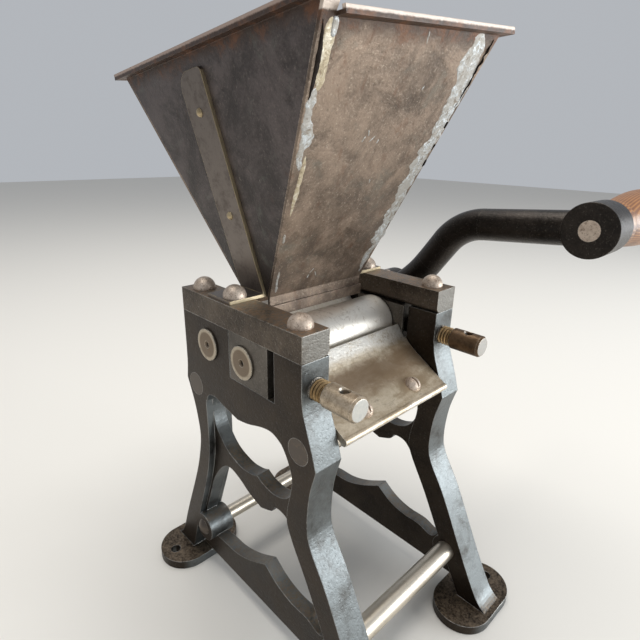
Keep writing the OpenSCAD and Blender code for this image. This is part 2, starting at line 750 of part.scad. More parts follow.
// The same corner in the mouth's own plane
function flat_corner(x_at, y_at, h = hopper_h, tilt = mouth_tilt) =
    let (c = corner(x_at, y_at, h, tilt) - [0, throat_y, h], a = tilt_angle(tilt)) [
        c * [cos(slant_angle), 0, sin(slant_angle)],
        c * [-sin(slant_angle) * sin(a), cos(a), cos(slant_angle) * sin(a)]];
front_left = flat_corner(function(z) left_at(z), function(z) front_at(z));
front_right = flat_corner(function(z) right_at(z), function(z) front_at(z));
rear_left = flat_corner(function(z) left_at(z), function(z) rear_at(z));
rear_right = flat_corner(function(z) right_at(z), function(z) rear_at(z));
// The left sheet keeps its rear corner and stands higher at the front
left_h = hopper_h + (mouth_tilt - left_tilt)
    * (corner(function(z) left_at(z), function(z) rear_at(z))[1] - throat_y);
left_front = flat_corner(function(z) left_at(z), function(z) front_at(z), left_h, left_tilt);
left_rear = flat_corner(function(z) left_at(z), function(z) rear_at(z), left_h, left_tilt);

// One side of the turned-out rim, between two corners of the mouth
module rim(a, b, out_a, out_b, h = hopper_h, tilt = mouth_tilt) {
    edge = 1 - sheet_t / rim_w;
    in_mouth(h, tilt) translate([0, 0, -sheet_t]) {
        linear_extrude(sheet_t) polygon([a, b, b + out_b, a + out_a]);
        linear_extrude(sheet_t + rim_lip)
            polygon([a + edge * out_a, b + edge * out_b, b + out_b, a + out_a]);
    }
}

lap = 0.4;
seam = 0.3;
// The side sheets' rims start clear of the front and rear sheets
rim_start = 1.7 * sheet_t;

// The hem and the upright skirt that hang between the cap bars
module skirt(y, side) {
    bottom = cap_top - skirt_h;
    translate([-throat_w / 2, min(y, y - side * sheet_t), bottom]) cube([throat_w, sheet_t, skirt_h]);
    translate([-throat_w / 2, min(y, y + side * sheet_t), bottom]) cube([throat_w, sheet_t, hem_h]);
}

module hopper_front_sheet() {
    color("#7c6a5b") {
        intersection() {
            funnel();
            beyond_front();
        }
        // The tab that stands up beside the left sheet, where the rim is notched
        intersection() {
            funnel(left_h, left_tilt);
            beyond_front();
            translate([left_at(hopper_h) + tab_w - far, -far / 2, 0]) cube(far);
        }
        skirt(front_at(0), front);
        rim(front_left + [tab_w, lap], front_right + [0, lap], [0, -rim_w - lap],
            [rim_w - seam, -rim_w - lap]);
    }
}

module hopper_rear_sheet() {
    color("#6f6058") {
        intersection() {
            funnel();
            beyond_rear();
        }
        skirt(rear_at(0), rear);
        rim(rear_left - [0, lap], rear_right - [0, lap], [seam - rim_w, rim_w + lap],
            [rim_w - seam, rim_w + lap]);
    }
}

module side_sheet(side) {
    difference() {
        if (side == left) intersection() {
            funnel(left_h, left_tilt);
            beyond_left();
        }
        else intersection() {
            funnel();
            beyond_right();
        }
        beyond_front();
        beyond_rear();
        on_strip(side) for (z = rivet_z) strip_rivet_hole(z);
    }
}

module hopper_left_sheet() {
    color("#5f5554") {
        side_sheet(left);
        rim(left_front + [lap, rim_start], left_rear + [lap, -rim_start],
            [-rim_w - lap, -rim_start], [-rim_w - lap, rim_start + rim_w - seam], left_h, left_tilt);
    }
}

module hopper_right_sheet() {
    color("#5f5554") {
        side_sheet(right);
        rim(front_right + [-lap, rim_start], rear_right + [-lap, -rim_start],
            [rim_w + lap, seam - rim_start - rim_w], [rim_w + lap, rim_start + rim_w - seam]);
    }
}

// ---------------------------------------------------------- hopper brackets

function side_run(side) = side == left ? left_run : right_run;

// Lays a (y, up the slope) drawing on the outer face of a side sheet, its thickness outwards
module on_strip(side) {
    slope = atan(side_run(side));
    translate([side * throat_w / 2, strip_y, cap_top]) rotate([0, side * slope, 0])
        rotate([-strip_lean, 0, 0]) rotate([90, 0, 90]) scale_x(side) children();
}

// Turns the drawing's outward direction to the left or the right
module scale_x(side) {
    if (side == right) children();
    else mirror([0, 0, 1]) children();
}

module strip_rivet_hole(z) {
    translate([0, z, 0]) cylinder(8, d = rivet_d, center = true);
}

foot_start = throat_w / 2 + strip_t - 0.3;
foot_end = frame_out - 1;

module hopper_bracket(side) {
    color("#6a6258") difference() {
        union() {
            intersection() {
                on_strip(side) linear_extrude(strip_t) difference() {
                    translate([-strip_w / 2, -10]) square([strip_w, strip_h + 10]);
                    translate([strip_w / 2, strip_h]) corner_cut(7, 1);
                    translate([-strip_w / 2, strip_h]) corner_cut(2, -1);
                }
                translate([-far / 2, -far / 2, cap_top]) cube(far);
            }
            // Foot on the cap bar
            translate([side * (foot_end + foot_start) / 2, strip_y, cap_top + strip_t / 2])
                cube([foot_end - foot_start, strip_w, strip_t], center = true);
        }
        translate([side * frame_mid, foot_screw_y, cap_top - over])
            cylinder(strip_t + 2 * over, d = cap_screw_d + 2 * screw_fit);
        on_strip(side) for (z = rivet_z) strip_rivet_hole(z);
    }
}

// What a rounded corner takes off a square one, for the upper corners of a strip
module corner_cut(r, side) {
    difference() {
        translate([side > 0 ? -r : -over, -r]) square([r + over, r + over]);
        translate([-side * r, -r]) circle(r);
    }
}

module left_hopper_bracket() { hopper_bracket(left); }
module right_hopper_bracket() { hopper_bracket(right); }

module bracket_rivets() {
    color("#a08a5c") for (side = [left, right]) on_strip(side) for (z = rivet_z) translate([0, z, strip_t]) {
        round_head_screw(rivet_head_d, 1.3, rivet_d, strip_t + sheet_t);
        translate([0, 0, -strip_t - sheet_t]) rotate([180, 0, 0])
            round_head_screw(rivet_head_d, 0.9, rivet_d, 0.5);
    }
}

// --------------------------------------------------------------------- gears

gear_pitch_r = (roller_d + nip) / 2;
tooth_unit = 2 * gear_pitch_r / gear_teeth;
gear_base_r = gear_pitch_r * cos(pressure_angle);
gear_tip_r = gear_pitch_r + 0.85 * tooth_unit;
gear_root_r = gear_pitch_r - 1.15 * tooth_unit;

// Involute of an angle, in degrees
function involute(a) = tan(a) * 180 / PI - a;
// Half of a tooth's angle at radius r
function half_tooth(r) = 90 / gear_teeth - backlash / gear_pitch_r * 45 / PI
    + involute(pressure_angle) - involute(acos(min(1, gear_base_r / r)));

flank_steps = 4;
flank_foot_r = max(gear_base_r, gear_root_r + 0.3);
flank_radii = [for (i = [0 : flank_steps]) mix(flank_foot_r, gear_tip_r, i / flank_steps)];
function at_angle(r, a) = r * [cos(a), sin(a)];

module gear_outline() {
    polygon([for (tooth = [0 : gear_teeth - 1]) let (mid = 180 + tooth * 360 / gear_teeth) each concat(
        [at_angle(gear_root_r, mid - half_tooth(flank_foot_r))],
        [for (r = flank_radii) at_angle(r, mid - half_tooth(r))],
        [for (i = [flank_steps : -1 : 0]) at_angle(flank_radii[i], mid + half_tooth(flank_radii[i]))],
        [at_angle(gear_root_r, mid + half_tooth(flank_foot_r))])]);
}

module gear(y) {
    color("#5d5853") difference() {
        union() {
            translate([0, y, axis_z]) plate((gear_in + gear_out) / 2, gear_w) gear_outline();
            bar_x(gear_out, gear_hub_out, gear_hub_d, [y, axis_z]);
        }
        bar_x(gear_in - over, gear_hub_out + over, shaft_d, [y, axis_z]);
        pin_hole(gear_hub_out - gear_hub_l / 2, y, gear_pin_d);
    }
}

module drive_gear() { gear(drive_y); }
module driven_gear() { gear(roll_y); }

module gear_pin(y) {
    color("#8d8780") translate([gear_hub_out - gear_hub_l / 2, y, axis_z])
        cylinder(gear_hub_d, d = gear_pin_d, center = true);
}

module drive_gear_pin() { gear_pin(drive_y); }
module driven_gear_pin() { gear_pin(roll_y); }

// --------------------------------------------------------------------- crank

crank_start = 30;
crank_steep = 54;
crank_end = 5;
crank_first = 6.5;
crank_middle = 15.3;

// Corners of the bar's path in the crank's plane: forward of the hub, and above it
function heading(a) = [cos(a), sin(a)];
bend_low = crank_first * heading(crank_start);
low_centre = bend_low + crank_low_r * heading(crank_start + 90);
bend_mid = low_centre + crank_low_r * heading(crank_steep - 90);
bend_top = bend_mid + crank_middle * heading(crank_steep);
top_centre = bend_top + crank_top_r * heading(crank_steep - 90);
bend_end = top_centre + crank_top_r * heading(crank_end + 90);
crank_eye = bend_end + crank_reach * heading(crank_end);
handle_y = drive_y - crank_eye[0];
handle_z = axis_z + crank_eye[1];

// A straight or a bent length of the round bar, drawn in the crank's plane. The straight ones
// are a little slimmer and run into the bends, so that no face lies on another.
module straight_bar(from, angle, length) {
    translate(from - over * heading(angle)) rotate([0, 90, angle]) rotate([0, 0, 90])
        cylinder(length + 2 * over, d = crank_bar_d - 0.1);
}
module bent_bar(centre, r, a0, a1, turn) {
    translate(centre) rotate([0, 0, a0]) rotate_extrude(angle = a1 - a0)
        translate([r, 0]) rotate([0, 0, turn]) circle(d = crank_bar_d);
}

module crank_arm() {
    color("#3c3835") difference() {
        union() {
            translate([crank_mid, drive_y, axis_z]) rotate([90, 0, -90]) {
                straight_bar([0, 0], crank_start, crank_first);
                bent_bar(low_centre, crank_low_r, crank_start - 90, crank_steep - 90, 180);
                straight_bar(bend_mid, crank_steep, crank_middle);
                bent_bar(top_centre, crank_top_r, crank_end + 90, crank_steep + 90, 0);
                straight_bar(bend_end, crank_end, crank_reach);
            }
            bar_x(crank_hub_in, crank_hub_out, crank_hub_d, [drive_y, axis_z]);
            bar_x(crank_eye_in, crank_eye_out, crank_eye_d, [handle_y, handle_z]);
        }
        bar_x(crank_hub_in - over, crank_hub_out + over, shaft_d, [drive_y, axis_z]);
        bar_x(crank_mid - crank_bar_d, crank_mid + crank_bar_d, spindle_d, [handle_y, handle_z]);
        pin_hole(crank_mid, drive_y, crank_pin_d);
    }
}

module crank_pin() {
    color("#8d8780") translate([crank_mid, drive_y, axis_z])
        cylinder(crank_hub_d, d = crank_pin_d, center = true);
}

// -------------------------------------------------------------------- handle

module handle_spindle() {
    at = [handle_y, handle_z];
    color("#8d8780") {
        bar_x(crank_eye_in, grip_out + side_gap + 1, spindle_d, at);
        translate([grip_out + side_gap, at[0], at[1]]) rotate([0, 90, 0])
            round_head_screw(spindle_head_d, 3.5, spindle_d, 1);
    }
}

module handle_washer() {
    at = [handle_y, handle_z];
    color("#8d8780") difference() {
        bar_x(crank_eye_out, crank_eye_out + washer_t, 2 * spindle_d + 1, at);
        bar_x(crank_mid, grip_in, spindle_d + 2 * run_fit, at);
    }
}

// Half profile of the turned grip: [distance from the crank, radius]
grip_profile = concat(
    [[0, spindle_d / 2 + run_fit], [0, 0.36 * grip_d]],
    curve([[1.5, 0.4 * grip_d], [5, 0.41 * grip_d], [9, 0.34 * grip_d], [0.42 * grip_len, 0.45 * grip_d],
        [0.72 * grip_len, 0.5 * grip_d], [0.93 * grip_len, 0.42 * grip_d], [grip_len, 0.27 * grip_d]]),
    [[grip_len, spindle_d / 2 + run_fit]]);

module handle_grip() {
    color("#8a5a33") translate([grip_in, handle_y, handle_z]) rotate([0, 90, 0])
        rotate_extrude() polygon([for (p = grip_profile) [p[1], p[0]]]);
}

left_side_frame();
right_side_frame();
left_cap_bar();
right_cap_bar();
cap_screws();
bracket_screws();
drive_roller();
adjusting_roller();
left_bearing_block();
right_bearing_block();
block_pins();
left_adjusting_screw();
right_adjusting_screw();
upper_front_stretcher();
upper_rear_stretcher();
lower_front_stretcher();
lower_rear_stretcher();
discharge_chute();
chute_screws();
hopper_front_sheet();
hopper_rear_sheet();
hopper_left_sheet();
hopper_right_sheet();
left_hopper_bracket();
right_hopper_bracket();
bracket_rivets();
drive_gear();
driven_gear();
drive_gear_pin();
driven_gear_pin();
crank_arm();
crank_pin();
handle_spindle();
handle_washer();
handle_grip();
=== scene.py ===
# %% [markdown]
# A small hand-cranked two-roller mill for seed or malt: cast iron side frames and cap bars, two
# steel rollers under a tapered sheet hopper, a scraper chute, two adjusting screws and a bent
# crank. The solids come packed from the CAD side and stay as they are. This lesson gives each of
# them the finish of the real thing, and adds the small things that are easier to grow in a mesh
# than to construct: thread turns, and solder along the seams of the hopper.

# %% Load the packed model as a fixed frame
import json
import math

import bmesh
import bpy
from mathutils import Matrix, Vector, noise


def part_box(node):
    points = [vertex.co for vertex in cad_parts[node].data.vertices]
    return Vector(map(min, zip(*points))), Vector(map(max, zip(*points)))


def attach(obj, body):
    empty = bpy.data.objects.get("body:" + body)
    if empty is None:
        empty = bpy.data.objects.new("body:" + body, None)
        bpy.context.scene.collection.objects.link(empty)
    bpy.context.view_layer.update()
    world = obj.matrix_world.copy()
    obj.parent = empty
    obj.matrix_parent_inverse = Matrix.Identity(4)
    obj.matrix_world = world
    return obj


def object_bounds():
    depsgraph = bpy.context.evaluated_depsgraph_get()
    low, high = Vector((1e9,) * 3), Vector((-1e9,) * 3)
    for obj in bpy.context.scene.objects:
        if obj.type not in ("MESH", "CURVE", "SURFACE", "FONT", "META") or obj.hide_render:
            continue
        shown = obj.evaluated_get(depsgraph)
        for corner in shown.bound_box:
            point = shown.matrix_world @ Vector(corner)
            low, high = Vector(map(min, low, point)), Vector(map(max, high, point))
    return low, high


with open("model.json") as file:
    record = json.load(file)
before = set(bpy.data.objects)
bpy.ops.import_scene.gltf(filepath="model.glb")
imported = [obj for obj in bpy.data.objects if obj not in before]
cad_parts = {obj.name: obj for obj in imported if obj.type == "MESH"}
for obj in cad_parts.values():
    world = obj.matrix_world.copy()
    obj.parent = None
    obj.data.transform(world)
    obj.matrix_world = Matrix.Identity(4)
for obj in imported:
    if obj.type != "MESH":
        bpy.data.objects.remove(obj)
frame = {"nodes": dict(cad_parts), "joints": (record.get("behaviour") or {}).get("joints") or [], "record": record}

MM = 0.001
cad_low, cad_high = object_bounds()
print("CAD box", [round(v, 4) for v in cad_low], [round(v, 4) for v in cad_high])

# %% [markdown]
# The camera stands close to the near front corner of the frames and a little above the hopper's
# throat, so the near cap bar looks large and the far frame small. A short lens from close by gives
# that perspective; a long lens from far away would flatten it. The camera's three axes are written
# down as directions, because a tiny roll of the horizon is part of the view.

# %% Camera
CAMERA_PLACE = (-0.15563, -0.14973, 0.23211)
camera_data = bpy.data.cameras.new("camera")
camera_data.sensor_width = 36
camera_data.lens = 27.275
camera_data.clip_start = 0.01
camera = bpy.data.objects.new("camera", camera_data)
bpy.context.scene.collection.objects.link(camera)
look = Vector((0.6560, 0.6727, -0.3422)).normalized()
right = Vector((0.7208, -0.6929, 0.0196))
right = (right - right.dot(look) * look).normalized()
up = right.cross(look)
turned = Matrix((right, up, -look)).transposed().to_4x4()
camera.matrix_world = Matrix.Translation(CAMERA_PLACE) @ turned
bpy.context.scene.camera = camera
print("camera looks along", [round(v, 3) for v in look])

# %% [markdown]
# Shader maths reads best as plain sums. `Value` wraps one socket of a material's node tree, and
# Python's own operators add the Math nodes, so `1 - mask * 0.4` is written just so.

# %% Values that can be added and multiplied
class Value:
    """One socket of a finish that can take part in sums."""

    def __init__(self, finish, socket):
        self.finish, self.socket = finish, socket

    def maths(self, operation, *terms, clamp=False):
        return self.finish.node(
            "ShaderNodeMath", {"operation": operation, "use_clamp": clamp}, dict(enumerate(terms)))

    def __add__(self, other):
        return self.maths("ADD", self, other)

    def __radd__(self, other):
        return self.maths("ADD", other, self)

    def __sub__(self, other):
        return self.maths("SUBTRACT", self, other)

    def __rsub__(self, other):
        return self.maths("SUBTRACT", other, self)

    def __mul__(self, other):
        return self.maths("MULTIPLY", self, other)

    def __rmul__(self, other):
        return self.maths("MULTIPLY", other, self)

    def __truediv__(self, other):
        return self.maths("DIVIDE", self, other)

    def __pow__(self, other):
        return self.maths("POWER", self, other)

    def __abs__(self):
        return self.maths("ABSOLUTE", self)

    def __neg__(self):
        return self.maths("MULTIPLY", self, -1)

    def most(self, other):
        return self.maths("MAXIMUM", self, other)

    def sine(self):
        return self.maths("SINE", self)

    def fraction(self):
        return self.maths("FRACT", self)

    def held(self):
        """The same value, kept between 0 and 1."""
        return self.maths("ADD", self, 0, clamp=True)


def tone(code):
    """A colour written the way a paint card gives it, turned into the light values Blender uses."""
    parts = [int(code[i:i + 2], 16) / 255 for i in (1, 3, 5)]
    return tuple(c / 12.92 if c <= 0.04045 else ((c + 0.055) / 1.055) ** 2.4 for c in parts) + (1,)


print("the bright steel of a screw head is", [round(v, 3) for v in tone("#d0c0b0")[:3]])

# %% [markdown]
# A finish is one material being made. It starts from the shader that Blender gives every new
# material. What is the same all over goes straight onto the shader's own sockets; what varies is
# put there by a link. One method, `node`, adds any node there is: its settings first, and then the
# numbers, colours or values of its sockets.

# %% A material and its nodes
class Material:
    """One finish's nodes. `plain` is what is the same all over, by the shader's own names."""

    def __init__(self, name, plain=None):
        self.material = bpy.data.materials.new(name)
        self.material.use_nodes = True
        self.tree = self.material.node_tree
        self.shader = self.tree.nodes["Principled BSDF"]
        for socket, value in (plain or {}).items():
            self.shader.inputs[socket].default_value = value
        self.where = self.node("ShaderNodeTexCoord", out="Object")

    def node(self, kind, settings=None, sockets=None, out=0):
        made = self.tree.nodes.new(kind)
        for setting, value in (settings or {}).items():
            setattr(made, setting, value)
        for socket, value in (sockets or {}).items():
            if isinstance(value, Value):
                self.tree.links.new(value.socket, made.inputs[socket])
            else:
                made.inputs[socket].default_value = value
        return Value(self, made.outputs[out])

    def put(self, socket, value):
        self.tree.links.new(value.socket, self.shader.inputs[socket])


print("a material offers:", sorted(n for n in vars(Material) if not n.startswith("_")))

# %% [markdown]
# Wear has causes, so a finish must know where it is on the part and which way the surface looks.
# Noise gives it clouds and grain of a chosen size in metres; `above` turns any of these into a
# mask; `mix` lays one colour over another through a mask. The bevel node tells arrises from flats,
# and the bump node turns a height into relief.

# %% Places, patterns, masks and relief
class Finish(Material):
    """A material with ways to measure the part and to lay one thing over another."""

    def axis(self, letter):
        """How far along X, Y or Z a point lies, in metres."""
        return self.node("ShaderNodeSeparateXYZ", sockets={0: self.where}, out=letter)

    def facing(self, letter):
        """How squarely the surface faces along X, Y or Z, from -1 to 1."""
        normal = self.node("ShaderNodeTexCoord", out="Normal")
        return self.node("ShaderNodeSeparateXYZ", sockets={0: normal}, out=letter)

    def stretched(self, factors, turn=(0, 0, 0)):
        """The coordinates squeezed along each axis, so that a pattern runs long or short."""
        return self.node("ShaderNodeMapping", sockets={
            "Vector": self.where, "Scale": factors, "Rotation": turn})

    def noise(self, size, detail=4.0, rough=0.55, warp=0.0, shift=0.0, of=None):
        """Cloudy noise about 0.5 whose patches are about `size` metres across."""
        return self.node("ShaderNodeTexNoise", {"noise_dimensions": "4D"}, {
            "Vector": of or self.where, "W": shift, "Scale": 1 / size, "Detail": detail,
            "Roughness": rough, "Distortion": warp})

    def cells(self, size):
        """Distance from the nearest of many scattered points, `size` metres apart."""
        return self.node("ShaderNodeTexVoronoi", sockets={
            "Vector": self.where, "Scale": 1 / size})

    def above(self, value, low, high):
        """0 where the value is under `low`, 1 where it is over `high`, and a soft step between."""
        return self.node("ShaderNodeMapRange", {"interpolation_type": "SMOOTHSTEP"}, {
            "Value": value, "From Min": low, "From Max": high})

    def mix(self, mask, under, over):
        """`under` where the mask is 0 and `over` where it is 1; both are colours."""
        # Mix has a set of sockets for each kind of value, and these numbers are the colours' own
        return self.node("ShaderNodeMix", {"data_type": "RGBA"},
                         {0: mask, 6: under, 7: over}, out=2)

    def rounded(self, radius):
        """The normal that the surface would have if its arrises were eased by `radius`."""
        return self.node("ShaderNodeBevel", {"samples": 6}, {"Radius": radius})

    def arris(self, eased, reach=0.14):
        """1 on worn edges and 0 on flats, from how far the eased normal leans away."""
        flat = self.node("ShaderNodeNewGeometry", out="Normal")
        lean = self.node("ShaderNodeVectorMath", {"operation": "DOT_PRODUCT"},
                         {0: eased, 1: flat}, out="Value")
        return self.above(1 - lean, 0.01, reach)

    def bump(self, height, depth, strength=1.0, eased=None):
        """Pushes the normal about as a surface would that stood `height` x `depth` metres proud."""
        sockets = {"Height": height, "Strength": strength, "Distance": depth}
        if eased is not None:
            sockets["Normal"] = eased
        self.put("Normal", self.node("ShaderNodeBump", sockets=sockets))


print("ways to vary a finish:", sorted(n for n in vars(Finish) if not n.startswith("_")))

# %% [markdown]
# Old cast iron is never one colour. A thin brown-black skin of oil and oxide lies over grey metal,
# the skin is cloudy at the size of a thumbprint and grainy at the size of sand, rust blooms through
# it in spots, and hands have polished the arrises back to bare grey. The narrow faces round a frame
# are worn smoother than its flanks, and their paler blue-grey tone is partly a painted reflection
# of the light they face; what lies flat gathers brown dust. One recipe makes every iron part of the
# mill, each with its own tones, rust and polish.

# %% Cast iron
FOOT_TOP = 8 * MM


def iron(name, dark, skin, bare, rust, edge=None, rusty=0.5, polish=0.8, ease=0.6 * MM,
         gloss=0.42, grain=1.0, metal=0.75, freckled=0.28, top=None):
    """`edge` tones narrow faces, both wear and painted reflection; `top` is dust on flat tops."""
    finish = Finish(name)
    clouds = finish.noise(16 * MM, detail=5, rough=0.6, warp=0.4)
    grit = finish.noise(1.1 * MM, detail=4, rough=0.65, shift=3)
    bloom = finish.noise(6 * MM, detail=6, rough=0.7, warp=0.8, shift=7)
    freckles = finish.noise(0.7 * MM, detail=3, rough=0.6, shift=11)
    eased = finish.rounded(ease)
    worn = finish.arris(eased) * finish.above(clouds + grit * 0.8, 0.62, 0.98) * polish
    colour = finish.mix(finish.above(clouds + grit * 0.5, 0.52, 0.96), tone(dark), tone(skin))
    colour = finish.mix(finish.above(bloom, 0.70 - 0.20 * rusty, 0.78) * 0.75, colour, tone(rust))
    colour = finish.mix(finish.above(freckles, 0.56, 0.70) * freckled, colour, tone(bare))
    upward = finish.above(finish.facing("Z"), 0.7, 0.9)
    if edge:
        on_foot = upward * (1 - finish.above(finish.axis("Z"), FOOT_TOP, FOOT_TOP * 1.5))
        # Painted reflection: faces that do not look along X, the narrow faces, take the paler blue-grey tone,
        # partly smoother wear and partly the sheen of the light they face.
        worn_face_and_sheen = finish.above(1 - abs(finish.facing("X")), 0.30, 0.80) * (1 - on_foot)
        worn_face_and_sheen = worn_face_and_sheen * finish.above(clouds + bloom * 0.5, 0.40, 0.84)
        colour = finish.mix(worn_face_and_sheen * 0.85, colour, tone(edge))
    if top:
        colour = finish.mix(upward * finish.above(grit + bloom * 0.6, 0.60, 1.0) * 0.85, colour,
                            tone(top))
    colour = finish.mix(worn, colour, tone(bare))
    finish.put("Base Color", colour)
    finish.put("Roughness", gloss + (grit - 0.5) * 0.35 + (clouds - 0.5) * 0.25 - worn * 0.10)
    finish.put("Metallic", (metal - finish.above(bloom, 0.60, 0.80) * 0.4 + worn * 0.2).held())
    pits = finish.above(finish.cells(1.7 * MM), 0.05, 0.32)
    finish.bump(clouds * 0.7 + grit * 0.45 + pits * 0.16, 0.55 * MM * grain, 0.9, eased)
    return finish.material


materials = {}
materials["frame_iron"] = iron(
    "frame_iron", dark="#2a231d", skin="#3e352c", bare="#a9a9a7", rust="#47352a", edge="#737879",
    rusty=0.3, metal=0.85, grain=0.55, freckled=0.08, top="#766858")
materials["cap_iron"] = iron(
    "cap_iron", dark="#3d342c", skin="#675c50", bare="#bdb7ad", rust="#6d523b", edge="#777570",
    rusty=0.6, gloss=0.46, grain=1.3, freckled=0.26, top="#9a7d60")
materials["block_iron"] = iron(
    "block_iron", dark="#48433d", skin="#6b645c", bare="#aaa69e", rust="#4d3c30", rusty=0.3,
    ease=0.3 * MM, grain=0.5)
materials["gear_iron"] = iron(
    "gear_iron", dark="#3a3632", skin="#5b5650", bare="#b0ada8", rust="#54402e", rusty=0.4,
    gloss=0.40, ease=0.3 * MM, grain=0.6)
materials["crank_iron"] = iron(
    "crank_iron", dark="#1f1b18", skin="#37312c", bare="#79736b", rust="#3a2a1e", rusty=0.3,
    polish=0.5, gloss=0.38, grain=0.6)
print("iron finishes:", sorted(materials))

# %% [markdown]
# Worked steel and brass were once bright. What shows now is tarnish in drifts, fine turning or
# rubbing marks, and brown stain where seed dust and damp have sat. The marks follow the way the
# part was made: round a turned head or roller, along a rod. A journal's end keeps the rings of the
# lathe tool and a rubbed rim; painted shade darkens its centre hole and the gap round its edge.

# %% Rings on a turned end
def lathe_rings(finish, colour, centre, radius, outside, rubbed):
    """`centre` is the axis's Y and Z, `radius` the journal's in mm, `outside` where they show."""
    out_y, out_z = finish.axis("Y") - centre[0], finish.axis("Z") - centre[1]
    out = (out_y ** 2 + out_z ** 2) ** 0.5 / MM
    rings = (out * 9).sine() * 0.5 + 0.5
    rim = finish.above(out, radius - 2.0, radius - 1.1)
    # Painted shade: a dark dot for the centre hole and a dark ring for the gap where the journal sits in its bore.
    hole_shade = 1 - finish.above(out, 0.9, 1.5)
    gap_shade = finish.above(out, radius - 0.35, radius - 0.1)
    colour = finish.mix(rings * outside * 0.25, colour, tone("#5f5347"))
    colour = finish.mix(rim * outside * rubbed * 0.75, colour, tone("#c4b8a4"))
    colour = finish.mix(hole_shade * outside * 0.9, colour, tone("#1b1510"))
    return finish.mix(gap_shade * outside * 0.8, colour, tone("#241d18"))


joint_places = {joint["name"]: joint.get("pos_m") for joint in frame["joints"]}
print("rollers turn about", joint_places["crank_turn"], "and", joint_places["idle_turn"])

# %% [markdown]
# One recipe again serves all the turned and filed parts. A mask by distance from the middle gives
# the ends that show outside the frames their own duller tone, a mask by direction paints a
# highlight on the front face of a screw or bracket, which is turned towards the window lamp, and a
# mask by place darkens the oily neck of a screw.

# %% Worked steel and brass
FRAME_INNER_X = 36 * MM
JOURNAL_RADIUS = 7.5
NECK_Y = -39.4 * MM


def worked(name, bright, tarnish, stain, edge=None, marks=(1, 1, 1), amount=0.5, gloss=0.34,
           ease=0.25 * MM, metal=0.92, stained=0.5, depth=0.12 * MM, beyond=None, hidden=None,
           front_highlight=None, lathe=None, neck=None, pitted=0.0):
    """`beyond` is the distance from the middle past which the finish turns to `hidden`, and there
    `lathe` is the axis, in Y and Z, that rings go round. `neck` is the Y past which it is oily."""
    finish = Finish(name)
    lines = finish.noise(0.5 * MM, detail=3, rough=0.6, of=finish.stretched(marks))
    drift = finish.noise(7 * MM, detail=6, rough=0.65, warp=0.6, shift=2)
    spots = finish.noise(1.4 * MM, detail=4, rough=0.6, shift=5)
    eased = finish.rounded(ease)
    worn = finish.arris(eased) * finish.above(drift + spots, 0.7, 1.1)
    dull = finish.above(drift + spots * 0.5, 0.88 - 0.4 * amount, 1.20 - 0.3 * amount)
    brown = finish.above(finish.noise(3.5 * MM, detail=5, rough=0.7, warp=1.2, shift=9),
                         0.64 - 0.16 * stained, 0.78 - 0.08 * stained)
    colour = finish.mix(dull, tone(bright), tone(tarnish))
    colour = finish.mix(brown * 0.6, colour, tone(stain))
    if pitted:
        pits = finish.above(finish.noise(0.7 * MM, detail=3, rough=0.7, shift=13), 0.52, 0.64)
        colour = finish.mix(pits * pitted, colour, tone(stain))
    if front_highlight:
        # Painted highlight: faces that look to the front, towards the window lamp, are lightened.
        front = finish.above(-finish.facing("Y"), 0.80, 0.95)
        colour = finish.mix(front * 0.7, colour, tone(front_highlight))
    if neck:
        colour = finish.mix(finish.above(finish.axis("Y"), neck, neck + 0.2 * MM), colour,
                            tone("#2c2219"))
    if beyond:
        outside = finish.above(abs(finish.axis("X")), beyond - 0.3 * MM, beyond + 0.3 * MM)
        colour = finish.mix(outside, colour, finish.mix(dull, tone(hidden), tone(stain)))
        if lathe:
            rubbed = finish.above(drift + spots, 0.6, 1.0)
            colour = lathe_rings(finish, colour, lathe, JOURNAL_RADIUS, outside, rubbed)
    colour = finish.mix(worn, colour, tone(edge or bright))
    finish.put("Base Color", colour)
    finish.put("Roughness", gloss + dull * 0.14 + brown * 0.12 + (lines - 0.5) * 0.2)
    finish.put("Metallic", (metal - brown * 0.30).held())
    finish.bump(lines * 0.35 + drift * 0.5 + spots * 0.4, depth, 0.8, eased)
    return finish.material


materials["screw_steel"] = worked(
    "screw_steel", bright="#d0c0b0", tarnish="#a3907f", stain="#5d4636", amount=0.6, gloss=0.42,
    depth=0.5 * MM, metal=0.6, pitted=0.55)
for roller, joint in (("drive_roller", "crank_turn"), ("adjusting_roller", "idle_turn")):
    materials[roller] = worked(
        roller, bright="#e6e1d8", tarnish="#cbc2b4", stain="#86725b", edge="#cfc6b6",
        marks=(1, 0.08, 0.08), amount=0.42, gloss=0.44, stained=0.75, depth=0.05 * MM,
        ease=0.9 * MM, beyond=FRAME_INNER_X, hidden="#7d6e5d", metal=0.8,
        lathe=joint_places[joint][1:])
materials["adjuster_brass"] = worked(
    "adjuster_brass", bright="#c0b09a", tarnish="#8d7c67", stain="#574532", edge="#ddd5c8",
    front_highlight="#c3c7c6", marks=(0.3, 1, 0.3), amount=0.6, gloss=0.38, stained=0.7, ease=0.5 * MM,
    metal=0.75, neck=NECK_Y, pitted=0.35)
